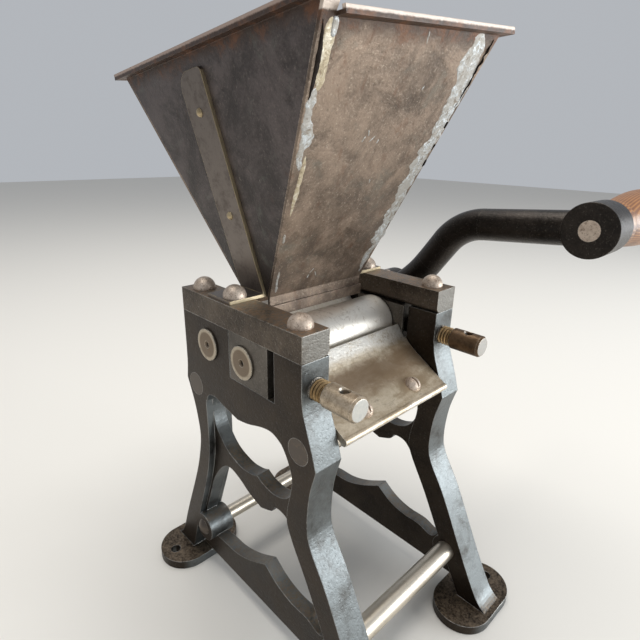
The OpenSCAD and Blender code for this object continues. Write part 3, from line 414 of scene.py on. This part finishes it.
# Painted shade: the far screw is a darker, browner copy of the near one, partly its own brown tarnish and partly
# the shade it sits in.
materials["far_adjuster_shaded"] = worked(
    "far_adjuster_shaded", bright="#6f5943", tarnish="#4a3826", stain="#2f2217", edge="#c2b6a6",
    front_highlight="#b9b8b4", marks=(0.3, 1, 0.3), amount=0.7, gloss=0.38, stained=0.8, ease=0.5 * MM,
    metal=0.75, neck=NECK_Y)
materials["rod_steel"] = worked(
    "rod_steel", bright="#cdc4b5", tarnish="#a3998a", stain="#7b6d5b", marks=(0.06, 1, 1),
    amount=0.35, gloss=0.36, stained=0.4, depth=0.05 * MM, beyond=FRAME_INNER_X,
    hidden="#57504a")
materials["bracket_steel"] = worked(
    "bracket_steel", bright="#7c736c", tarnish="#645b55", stain="#4a3e37", edge="#c4b084",
    front_highlight="#cfbf9d", marks=(1, 1, 0.2), gloss=0.42, ease=0.35 * MM)
materials["rivet_brass"] = worked(
    "rivet_brass", bright="#b8a684", tarnish="#8b7a5f", stain="#544534", edge="#c5b696",
    amount=0.6, gloss=0.38, metal=0.7)
materials["thread_brass"] = worked(
    "thread_brass", bright="#a98e68", tarnish="#7c6442", stain="#453421", edge="#c9ad7f",
    amount=0.6, gloss=0.34, stained=0.8, ease=0.1 * MM)
print("finishes so far:", len(materials))

# %% [markdown]
# The chute tells its own story: bright near the top, where grain rubs it and a painted highlight
# stands for the shine on the rolled shoulder under the roller; brown in the hollow of the bend,
# where meal sets hard and painted shade darkens it further; tan down the slope; and bare again at
# the folded front edge. So its stain follows the way down the chute, and noise only frays it.

# %% Chute
chute_low, chute_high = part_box("discharge_chute")


def stained_chute(name):
    finish = Finish(name)
    down = (chute_high.z - finish.axis("Z")) / (chute_high.z - chute_low.z)
    cloud = finish.noise(12 * MM, detail=6, rough=0.68, warp=0.9)
    smear = finish.noise(7 * MM, detail=5, rough=0.65, warp=0.5, shift=3,
                         of=finish.stretched((0.45, 1, 1)))
    speck = finish.noise(0.9 * MM, detail=4, rough=0.7, shift=6)
    place = down + (cloud - 0.5) * 0.30
    colour = finish.mix(finish.above(smear + speck * 0.3, 0.50, 0.86), tone("#9f8d74"),
                        tone("#d2c5af"))
    # Painted shade: the brown band is meal in the hollow of the bend together with the shade there.
    caked_and_shade = finish.above(place, 0.26, 0.40) * (1 - finish.above(place, 0.50, 0.76))
    colour = finish.mix(caked_and_shade * 0.8, colour, tone("#6b553d"))
    freckle = finish.above(smear + cloud * 0.5, 0.86, 0.98)
    colour = finish.mix(freckle * 0.7, colour, tone("#4f3b28"))
    # Painted highlight: the bright band at the top stands for the shine on the rolled shoulder, and is partly
    # rubbed metal; at the foot it is the rubbed front edge.
    rubbed = (1 - finish.above(place, 0.14, 0.30)).most(finish.above(place, 0.86, 0.99) * 0.8)
    colour = finish.mix(rubbed * finish.above(speck + cloud, 0.7, 1.1), colour, tone("#dedad2"))
    eased = finish.rounded(0.5 * MM)
    worn = finish.arris(eased)
    colour = finish.mix(worn * 0.9, colour, tone("#e6e1d6"))
    finish.put("Base Color", colour)
    finish.put("Roughness", 0.46 + caked_and_shade * 0.14 - rubbed * 0.08 + (speck - 0.5) * 0.3)
    finish.put("Metallic", (0.75 - caked_and_shade * 0.4 - freckle * 0.2).held())
    finish.bump(cloud * 0.6 + smear * 0.4 + speck * 0.12, 0.5 * MM, 0.8, eased)
    return finish.material


materials["chute_steel"] = stained_chute("chute_steel")
print("chute falls", round(chute_high.z - chute_low.z, 4), "m")

# %% [markdown]
# The hopper is tinned sheet that lost its tin long ago. It is dull, speckled like a trout, and
# streaked with rust from the rim down; the side sheets take a darker, greyer copy of its finish as
# painted shade. Two sizes of noise make the speckle; a long thin noise, squeezed along the height,
# makes the streaks. The mouth slants, so the rust and painted shadow below the rolled rim and the
# painted highlight on its top follow the distance under a slanting plane.

# %% Oxidised hopper sheet
CAP_TOP = 168 * MM
THROAT_Y = 22.1 * MM
MOUTH_RISE = 98.5 * MM
LEFT_RISE = 100.6 * MM
MOUTH_LEAN = (0.078, -0.055)
LEFT_LEAN = (0.078, -0.086)


def under_the_mouth(finish, rise, lean):
    """Millimetres below the mouth's plane: its rise over the cap bars, and its slope along X, Y."""
    mouth = (finish.axis("X") * lean[0] + (finish.axis("Y") - THROAT_Y) * lean[1]
             + (CAP_TOP + rise))
    return (mouth - finish.axis("Z")) / MM


def sheet(name, low, high, rust, lip, gloss=0.46, rusty=0.5, pale=0.35, floor_dark=0.5,
          rise=MOUTH_RISE, lean=MOUTH_LEAN):
    finish = Finish(name)
    below = under_the_mouth(finish, rise, lean)
    cloud = finish.noise(20 * MM, detail=6, rough=0.65, warp=0.9)
    fog = finish.noise(7 * MM, detail=6, rough=0.70, warp=0.5, shift=21)
    speck = finish.noise(0.9 * MM, detail=4, rough=0.7, shift=4)
    streak = finish.noise(6 * MM, detail=5, rough=0.65, warp=0.6, shift=6,
                          of=finish.stretched((1, 1, 0.22)))
    scratch = finish.noise(0.8 * MM, detail=2, rough=0.5, shift=15,
                           of=finish.stretched((1, 1, 0.12), turn=(0, 0.35, 0)))
    lift = cloud + fog * 0.5 + speck * 0.35 - finish.above(below, 30, 100) * 0.14 * floor_dark
    colour = finish.mix(finish.above(lift, 0.70, 1.10), tone(low), tone(high))
    verdigris = finish.above(finish.noise(13 * MM, detail=5, rough=0.7, warp=0.8, shift=31),
                             0.54, 0.68)
    colour = finish.mix(verdigris * 0.35, colour, tone("#6d6f66"))
    colour = finish.mix(finish.above(speck, 0.56, 0.70) * pale, colour, tone("#c3b8a6"))
    colour = finish.mix(finish.above(1 - speck, 0.58, 0.70) * 0.45, colour, tone("#463c33"))
    colour = finish.mix(finish.above(streak, 0.66 - 0.16 * rusty, 0.74) * 0.6, colour, tone(rust))
    colour = finish.mix(finish.above(scratch, 0.70, 0.78) * 0.4, colour, tone("#d3ccc0"))
    # Rust and painted shadow: the rim's face and a few millimetres below it darken, rust together with the shade
    # under the rolled rim.
    drip = below - (fog - 0.5) * 12
    stained = (1 - finish.above(drip, 1.5, 7)) * 0.9
    rust_and_rim_shadow_tones = finish.mix(finish.above(fog, 0.45, 0.65), tone("#3b281c"), tone("#6a4226"))
    colour = finish.mix(stained, colour, rust_and_rim_shadow_tones)
    # Painted highlight: the top of the rolled rim is lit pale.
    rim_highlight = 1 - finish.above(below + (speck - 0.5) * 0.9, -0.5, 0.2)
    colour = finish.mix(rim_highlight * 0.9, colour, tone(lip))
    eased = finish.rounded(0.4 * MM)
    worn = finish.arris(eased) * finish.above(fog + speck, 0.80, 1.15) * (1 - stained) * 0.8
    colour = finish.mix(worn, colour, tone("#c9b7a8"))
    finish.put("Base Color", colour)
    finish.put("Roughness", gloss + (speck - 0.5) * 0.35 + (fog - 0.5) * 0.3)
    finish.put("Metallic", (0.55 - stained * 0.4 + (cloud - 0.5) * 0.5).held())
    finish.bump(cloud * 0.9 + fog * 0.25 + speck * 0.16, 1.0 * MM, 0.7, eased)
    return finish.material


materials["hopper_sheet"] = sheet(
    "hopper_sheet", low="#5c4f44", high="#928070", rust="#6b4a36", lip="#decfc2", rusty=0.7,
    pale=0.42, floor_dark=0.6)
# Painted shade: the side sheets take darker tones and fewer pale specks than the front, for the shade on the
# sides.
shaded_side_tones = {"low": "#3a3432", "high": "#665d5b", "rust": "#5b4033", "lip": "#b39d90",
              "gloss": 0.42, "rusty": 0.45, "pale": 0.12, "floor_dark": 1.9}
left_sheet = sheet("hopper_sheet_left_shaded", rise=LEFT_RISE, lean=LEFT_LEAN, **shaded_side_tones)
right_sheet = sheet("hopper_sheet_right_shaded", **shaded_side_tones)
print("hopper finishes: front and rear, and a greyer one for the sides")

# %% [markdown]
# The grip is turned wood on a spindle. Rings of the tree run along it, so the pattern is a set of
# shells about a line that lies off its axis; a hundred years of hands have darkened and waxed it.

# %% Turned wood
grip_low, grip_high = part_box("handle_grip")
grip_middle = (grip_low + grip_high) / 2
HEART_Y = grip_middle.y - 22 * MM
HEART_Z = grip_middle.z + 9 * MM
RINGS_PER_METRE = 760


def wood(name):
    finish = Finish(name, {"Coat Roughness": 0.3, "Coat IOR": 1.5})
    bend = finish.noise(30 * MM, detail=3, rough=0.5, of=finish.stretched((0.25, 1, 1)))
    across = (finish.axis("Y") - HEART_Y) ** 2
    upward = (finish.axis("Z") - HEART_Z) ** 2
    ring = (across + upward) ** 0.5 * RINGS_PER_METRE + bend * 3.0
    late = finish.above(abs(ring.fraction() - 0.5) * 2, 0.25, 0.95)
    pores = finish.noise(0.6 * MM, detail=3, rough=0.6, of=finish.stretched((0.05, 1, 1)))
    grime = finish.noise(14 * MM, detail=5, rough=0.6, shift=5)
    colour = finish.mix(late, tone("#774a27"), tone("#a06e3c"))
    colour = finish.mix(finish.above(pores, 0.60, 0.70) * 0.6, colour, tone("#3f2615"))
    colour = finish.mix(finish.above(grime, 0.42, 0.72) * 0.6, colour, tone("#452a17"))
    finish.put("Base Color", colour)
    finish.put("Roughness", 0.42 + pores * 0.2 - late * 0.05)
    finish.put("Coat Weight", 0.35 - grime * 0.3)
    finish.bump(late * 0.3 + pores * 0.5, 0.15 * MM, 0.7)
    return finish.material


materials["grip_wood"] = wood("grip_wood")
print("grip from", [round(v, 3) for v in grip_low], "to", [round(v, 3) for v in grip_high])

# %% [markdown]
# Every node that came from the CAD side keeps its shape. It gets the finish of the material slot
# that the record names for it. Five nodes have a finish of their own within their slot: the two
# rollers, whose turned ends ring round their own axes; the hopper's side sheets, whose darker
# copy is painted shade; and the far adjusting screw, browner with tarnish and darker with painted
# shade.

# %% Give the nodes their finishes
slot_of = {row["node"]: row["material_slot"] for row in frame["record"]["subparts"]}
own_finish = {"hopper_left_sheet": left_sheet, "hopper_right_sheet": right_sheet,
              "drive_roller": materials["drive_roller"],
              "adjusting_roller": materials["adjusting_roller"],
              "right_adjusting_screw": materials["far_adjuster_shaded"]}
for name, piece in frame["nodes"].items():
    wanted = slot_of[name]
    piece.data.materials.clear()
    piece.data.materials.append(own_finish.get(name) or materials[wanted])
for wanted in sorted(set(slot_of.values())):
    print(wanted, sorted(n for n in slot_of if slot_of[n] == wanted))

# %% [markdown]
# What is added to the mill is mesh made by sweeping: a ring of points is carried along a path, and
# each ring is joined to the next by a band of four-sided faces. It suits threads and beads alike.
# Each new piece is told which body carries it.

# %% Swept pieces
def object_from(name, verts, faces, body, slot, material, smooth=True):
    mesh = bpy.data.meshes.new(name)
    mesh.from_pydata([tuple(v) for v in verts], [], faces)
    mesh.update()
    skin = bmesh.new()
    skin.from_mesh(mesh)
    bmesh.ops.recalc_face_normals(skin, faces=skin.faces)
    skin.to_mesh(mesh)
    skin.free()
    mesh.polygons.foreach_set("use_smooth", [smooth] * len(mesh.polygons))
    piece = bpy.data.objects.new(name, mesh)
    bpy.context.scene.collection.objects.link(piece)
    mesh.materials.append(material)
    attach(piece, body)
    return piece


def sweep(rings):
    """Skins a list of rings of points, each ring with as many points, and closes both ends."""
    n = len(rings[0])
    verts = [p for ring in rings for p in ring]
    faces = [(i * n + k, i * n + (k + 1) % n, (i + 1) * n + (k + 1) % n, (i + 1) * n + k)
             for i in range(len(rings) - 1) for k in range(n)]
    faces += [tuple(range(n))[::-1], tuple(range(len(verts) - n, len(verts)))]
    return verts, faces


square = [(0, 0), (1, 0), (1, 1), (0, 1)]
print("three square rings give", len(sweep([square] * 3)[1]), "faces")

# %% [markdown]
# Each adjusting screw shows a short length of thread between its head and the frame. The CAD node
# has the thread's core; the turns are one helical ridge swept round it. The ridge is only four
# points wide: two at the root and two at the narrow crest. It fades out at both ends, as a cut
# thread does.

# %% Thread turns on the adjusting screws
THREAD_PITCH = 25.4 * MM / 16
THREAD_CREST = 4.5 * MM
THREAD_ROOT = 3.8 * MM
THREAD_FROM = 15.5 * MM     # both are measured from the outer face of the screw's head
THREAD_TO = 21.7 * MM
RIDGE = ((THREAD_ROOT, -0.47), (THREAD_CREST, -0.10), (THREAD_CREST, 0.10), (THREAD_ROOT, 0.47))


def thread_turns(x, z, y_start, y_end, steps=28):
    turns = (y_end - y_start) / THREAD_PITCH
    count = int(turns * steps)
    rings = []
    for i in range(count + 1):
        share = i / count
        angle = 2 * math.pi * turns * share
        y = y_start + (y_end - y_start) * share
        fade = max(0.06, min(1, share * turns * 3, (1 - share) * turns * 3))
        ring = []
        for reach, along in RIDGE:
            r = THREAD_ROOT + (reach - THREAD_ROOT) * fade
            ring.append((x + r * math.cos(angle), y + along * THREAD_PITCH,
                         z + r * math.sin(angle)))
        rings.append(ring)
    return sweep(rings)


for side in ("left", "right"):
    low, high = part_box(side + "_adjusting_screw")
    middle = (low + high) / 2
    start, end = low.y + THREAD_FROM, low.y + THREAD_TO
    object_from(side + "_screw_thread", *thread_turns(middle.x, middle.z, start, end),
                side + "_screw", "adjuster_brass", materials["thread_brass"], smooth=False)
    print(side, "thread from y", round(start, 4), "to", round(end, 4))

# %% [markdown]
# Everything on the hopper's front lies on one sloping face, between the two seams. So a place there
# is given as a maker would: how far along X, how high over the cap bars, and how proud of the face,
# all in millimetres. The seams run outwards as they rise, each at its own slope.

# %% Places on the hopper's front
FRONT_Y = 11.6
FRONT_SLOPE = 0.54
THROAT_HALF_WIDTH = 29.5
LEFT_SLOPE = 0.225
RIGHT_SLOPE = 0.095


def on_front(x, h, lift=0.0):
    proud = lift / math.hypot(1, FRONT_SLOPE)
    return Vector((x, FRONT_Y - FRONT_SLOPE * h - proud,
                   CAP_TOP / MM + h - proud * FRONT_SLOPE)) * MM


def left_seam(h):
    return -THROAT_HALF_WIDTH - LEFT_SLOPE * h


def right_seam(h):
    return THROAT_HALF_WIDTH + RIGHT_SLOPE * h


def ragged(u, seed, size=5.0):
    """Uneven numbers between about -1 and 1, smooth along u."""
    return (noise.noise(Vector((u / size, seed, 0.3))) * 1.4
            + noise.noise(Vector((u / size * 2.7, seed, 5.7))) * 0.7
            + noise.noise(Vector((u / size * 8.3, seed, 9.1))) * 0.25)


print("the right seam meets the cap bars at", [round(v, 4) for v in on_front(right_seam(0), 0)])

# %% [markdown]
# The hopper's sheets are joined with soft solder, laid on by hand. It lies along the seams as a low
# bead with a ragged edge, wide where the iron lingered and broken where it ran out. Each bead is
# swept along its seam as rows of points: the rows stand on the sheet's outer face, noise moves
# their two edges and their height, and the underside runs inside the sheet so that no gap shows.

# %% A bead beside a seam
SUNK = 0.45     # how far the underside lies inside the sheet, in mm


def solder_bead(name, seam, span, inner, outer, proud, seed, way=1, fray=0.8, finish="solder",
                columns=9, step=0.5):
    """`span` is where the bead starts and ends along h. `inner` and `outer` give its two edges at
    each h, as distances from the seam towards `way`. `proud` is its height, `fray` how uneven its
    edges are; all in millimetres."""
    start, end = span
    count = max(6, int((end - start) / step))
    rings = []
    for i in range(count + 1):
        share = i / count
        h = start + (end - start) * share
        taper = min(1, 6 * share, 6 * (1 - share)) ** 0.5
        a = inner(h) + ragged(h, seed) * fray * 0.6
        b = outer(h) + ragged(h, seed + 9) * fray
        middle, half = (a + b) / 2, max((b - a) / 2 * taper, 0.12)
        top, under = [], []
        for k in range(columns + 1):
            u = -1 + 2 * k / columns
            offset = middle + half * u
            bump = 0.55 + 0.45 * noise.noise(Vector((offset * 0.7, h * 0.5, seed)))
            lift = proud * max(0, 1 - u * u) ** 0.5 * bump * (0.3 + 0.7 * taper)
            x = seam(h) + way * offset
            top.append(on_front(x, h, lift - 0.05))
            under.append(on_front(x, h, -SUNK))
        rings.append(top + under[::-1])
    object_from(name, *sweep(rings), "frame", "hopper_sheet", materials[finish])
    print(name, len(rings), "rows")


# %% [markdown]
# Fresh solder is pale and slightly blue; old solder yellows. Neither covers evenly, so the finish
# lets a tan base and darker gaps through. The near-black finish for sprung seams is painted shade.

# %% Solder, and painted shade for open seams
def solder(name, pale, tan, dark):
    finish = Finish(name)
    patch = finish.noise(4 * MM, detail=6, rough=0.7, warp=1.0, shift=2)
    speck = finish.noise(0.9 * MM, detail=4, rough=0.7, shift=6)
    breaks = finish.noise(3.0 * MM, detail=6, rough=0.72, warp=1.0, shift=17)
    cover = finish.above(patch + speck * 0.4, 0.662, 0.85)
    colour = finish.mix(cover, tone(tan), tone(pale))
    colour = finish.mix(finish.above(breaks, 0.52, 0.64) * 0.85, colour, tone(dark))
    finish.put("Base Color", colour)
    finish.put("Roughness", 0.5 - cover * 0.12 + (speck - 0.5) * 0.4)
    finish.put("Metallic", (0.35 + cover * 0.3).held())
    finish.bump(patch * 0.6 + speck * 0.35, 0.6 * MM, 0.9)
    return finish.material


# Painted shade: a near-black, matt finish for the dark inside of an open seam.
def open_seam_shade(name):
    finish = Finish(name, {"Metallic": 0.0, "Specular IOR Level": 0.25})
    grain = finish.noise(0.8 * MM, detail=4, rough=0.6)
    finish.put("Base Color", finish.mix(grain, tone("#0e0b09"), tone("#2b211a")))
    finish.put("Roughness", 0.75 + grain * 0.2)
    finish.bump(grain, 0.3 * MM)
    return finish.material


materials["solder"] = solder("solder", pale="#cdd3d6", tan="#a5a19a", dark="#7f7465")
materials["solder_old"] = solder("solder_old", pale="#d8d0be", tan="#b3a58a", dark="#85755f")
materials["seam_shade"] = open_seam_shade("seam_shade")
print("finishes now:", len(materials))

# %% [markdown]
# The near seam was soldered in three goes: old yellowish metal with a fresh cap under the rim, a
# wide patch in the middle that thins to a streak, and touches lower down. The right seam has one
# long band that spreads just below the rim.

# %% Solder along the two front seams
solder_bead("near_seam_solder_top", left_seam, (79, 97), lambda h: 2.0,
            lambda h: 6.4 + 0.03 * (h - 79), proud=0.4, seed=1, fray=0.5, finish="solder_old")
solder_bead("near_seam_solder_cap", left_seam, (92.5, 97.5), lambda h: 4.4, lambda h: 7.2,
            proud=0.9, seed=31, fray=0.5)
solder_bead("near_seam_solder", left_seam, (55, 80), lambda h: 0.6,
            lambda h: 4.9 + 0.8 * math.sin(h * 0.5), proud=0.5, seed=2, fray=1.5)
solder_bead("near_seam_solder_streak", left_seam, (38, 60), lambda h: 2.0 + (h - 38) * 0.085,
            lambda h: 3.9 + (h - 38) * 0.09, proud=0.5, seed=3, fray=0.5, finish="solder_old")
solder_bead("near_seam_solder_low", left_seam, (2, 13), lambda h: 2.1, lambda h: 3.6,
            proud=0.4, seed=4, fray=0.6)
solder_bead("near_seam_drop", left_seam, (26.5, 30.5), lambda h: 1.3, lambda h: 2.6,
            proud=0.5, seed=5, fray=0.4)
solder_bead("right_seam_solder", right_seam, (3, 103.5), lambda h: 0.3,
            lambda h: 5.4 + 0.062 * h + max(0, h - 84) * 0.5, proud=0.5, seed=6, way=-1,
            fray=2.2, columns=14)

# %% [markdown]
# A few splashes of solder and bright nicks lie out on the front sheet. They are the same bead
# again, a few millimetres long, each leaning its own way.

# %% Splashes
SPLASHES = (    # x, h, length and width in mm, and how far it leans along X for each mm of h
    (-2.1, 98.0, 3.4, 0.9, -0.4), (-12.6, 65.8, 2.2, 0.7, 0.5), (-11.2, 68.0, 2.0, 0.7, -0.6),
    (-8.0, 66.0, 2.4, 0.8, 0.9), (-4.2, 65.2, 1.6, 0.8, 0.2), (-9.4, 10.0, 2.2, 0.8, 0.8),
    (-6.2, 8.0, 2.6, 0.8, -0.7), (-10.4, 7.3, 1.8, 0.9, 0.1), (8.0, 84.0, 1.4, 0.6, 0.4),
    (2.0, 50.0, 1.4, 0.6, -0.4))
for number, (x, h, length, width, tilt) in enumerate(SPLASHES, 1):
    solder_bead("solder_splash_%d" % number, lambda at: x + (at - h) * tilt,
                (h - length / 2, h + length / 2), lambda at: -width / 2, lambda at: width / 2,
                proud=0.35, seed=60 + number, fray=0.2, columns=4, step=0.3)

# %% [markdown]
# Near the rim both seams have sprung open. What one sees is a dark sliver with a zigzag edge, so it
# is made like the beads, only thin and nearly flat, with a near-black finish that is painted shade.

# %% Sprung seams
def zigzag(h, seed):
    return ragged(h, seed, 2.2) * 0.5


solder_bead("near_seam_crack_shade", left_seam, (76.5, 96), lambda h: 0.9 + zigzag(h, 40) * 0.3,
            lambda h: 1.2 + 2.0 * math.sin(math.pi * (h - 76.5) / 19.5) + zigzag(h, 41) * 0.6,
            proud=0.85, seed=7, fray=0.15, finish="seam_shade", columns=4, step=0.3)
solder_bead("right_seam_crack_shade", right_seam, (79, 102.5), lambda h: 2.1 + zigzag(h, 43),
            lambda h: 2.75 + zigzag(h, 43) + 0.3 * math.sin(h * 0.9), proud=1.15, seed=8, way=-1,
            fray=0.1, finish="seam_shade", columns=4, step=0.3)
# Painted shade: three dark notches along the right seam, made the same way.
NOTCHES = ((72.5, 1.6), (63.5, 1.2), (57, 1.0))     # h and width in mm
for number, (h, width) in enumerate(NOTCHES, 1):
    solder_bead("right_seam_notch_shade_%d" % number, right_seam, (h - 1.4, h + 1.4), lambda at: 0.4,
                lambda at: 0.4 + width, proud=1.1, seed=50 + number, way=-1, fray=0.3,
                finish="seam_shade", columns=4, step=0.3)

# %% [markdown]
# The floor is a plain pale sheet of paper, wide enough to run far behind the mill. It is part of
# the stage and not of the mill.

# %% Floor
FLOOR_REACH = 3.0
CORNERS = ((-1, -1), (1, -1), (1, 1), (-1, 1))
floor_mesh = bpy.data.meshes.new("floor")
floor_mesh.from_pydata([(x * FLOOR_REACH, y * FLOOR_REACH, cad_low.z) for x, y in CORNERS], [],
                       [(0, 1, 2, 3)])
paper = Material("floor_paper", {
    "Roughness": 0.9, "Specular IOR Level": 0.2, "Base Color": tone("#dcd9d3")})
floor_mesh.materials.append(paper.material)
floor = bpy.data.objects.new("floor", floor_mesh)
bpy.context.scene.collection.objects.link(floor)
print("floor", 2 * FLOOR_REACH, "m across, at height", round(cad_low.z, 4))

# %% [markdown]
# The light is soft. A wide lamp stands to the front and right like a window, so faces that look
# left stay darker; a broad lamp above gives the rollers and rods their long highlights; and a pale
# sky-coloured world fills the shadows.

# %% Light
world = bpy.data.worlds.new("studio")
bpy.context.scene.world = world
world.use_nodes = True
ambient = world.node_tree.nodes["Background"]
ambient.inputs["Color"].default_value = (0.90, 0.94, 1.0, 1)
ambient.inputs["Strength"].default_value = 0.50


def lamp(name, place, width, height, power, colour, aim):
    data = bpy.data.lights.new(name, "AREA")
    data.shape, data.size, data.size_y = "RECTANGLE", width, height
    data.energy, data.color = power, colour
    made = bpy.data.objects.new(name, data)
    made.location = place
    made.rotation_euler = (Vector(aim) - Vector(place)).to_track_quat("-Z", "Y").to_euler()
    bpy.context.scene.collection.objects.link(made)
    print(name, "at", place, "power", power)


lamp("window_lamp", (0.85, -1.0, 0.26), 1.1, 0.6, 19, (0.93, 0.97, 1.0), aim=(0, 0, 0.12))
lamp("ceiling_lamp", (0.0, 0.10, 1.30), 0.9, 0.9, 14, (1.0, 0.97, 0.92), aim=(0, 0, 0.14))
bpy.context.scene.view_settings.view_transform = "Standard"

# %% [markdown]
